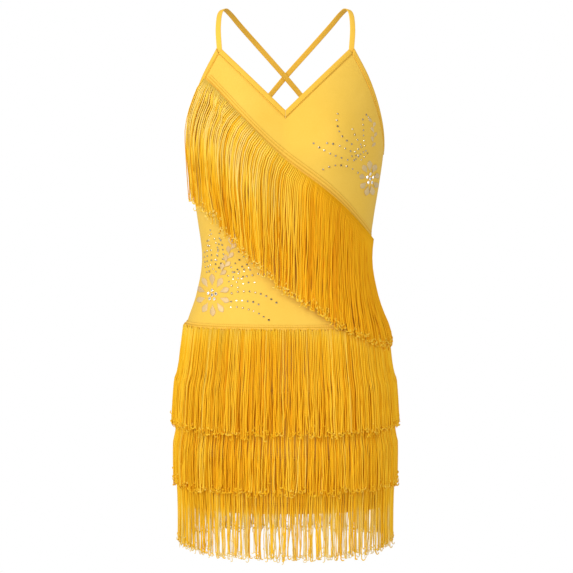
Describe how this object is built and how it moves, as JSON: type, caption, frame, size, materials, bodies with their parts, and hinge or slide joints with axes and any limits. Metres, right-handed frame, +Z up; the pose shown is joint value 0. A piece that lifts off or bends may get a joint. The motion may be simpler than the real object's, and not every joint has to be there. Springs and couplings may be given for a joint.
{
  "type": "latin dance dress",
  "caption": "Fitted sleeveless mini dress with a V neck, crossed back straps, a diagonal fringe over the bodice and level tiers of fringe round the skirt.",
  "frame": {"origin": "midway between the two straps where they lie on the shoulders, on the centre plane, at the level of the straps' undersides", "axes": "+Z up the dress, -Y out of its front, +X to the right of someone who looks at its front"},
  "size_m": [0.3324, 0.2511, 0.7793],
  "materials": {
    "cloth": "golden yellow matte stretch knit, fine jersey face, slight sheen",
    "binding": "the same stretch knit folded over the edge and top-stitched",
    "strap": "the same stretch knit as a narrow flat tube",
    "tape": "chain-stitched header tape of the fringe, pale golden yellow",
    "bodice_fringe": "silky twisted chainette strands, golden yellow with orange depths",
    "skirt_fringe": "silky twisted chainette strands, golden yellow to orange"
  },
  "bodies": {
    "root": {"front_panel": "cloth", "back_panel": "cloth", "neck_binding_left": "binding", "neck_binding_right": "binding", "armhole_binding_left": "binding", "armhole_binding_right": "binding", "back_binding": "binding", "strap_left": "strap", "strap_right": "strap", "bodice_tape": "tape", "bodice_fringe": "bodice_fringe", "skirt_tape_1": "tape", "skirt_fringe_1": "skirt_fringe", "skirt_tape_2": "tape", "skirt_fringe_2": "skirt_fringe", "skirt_tape_3": "tape", "skirt_fringe_3": "skirt_fringe"}
  },
  "joints": []
}
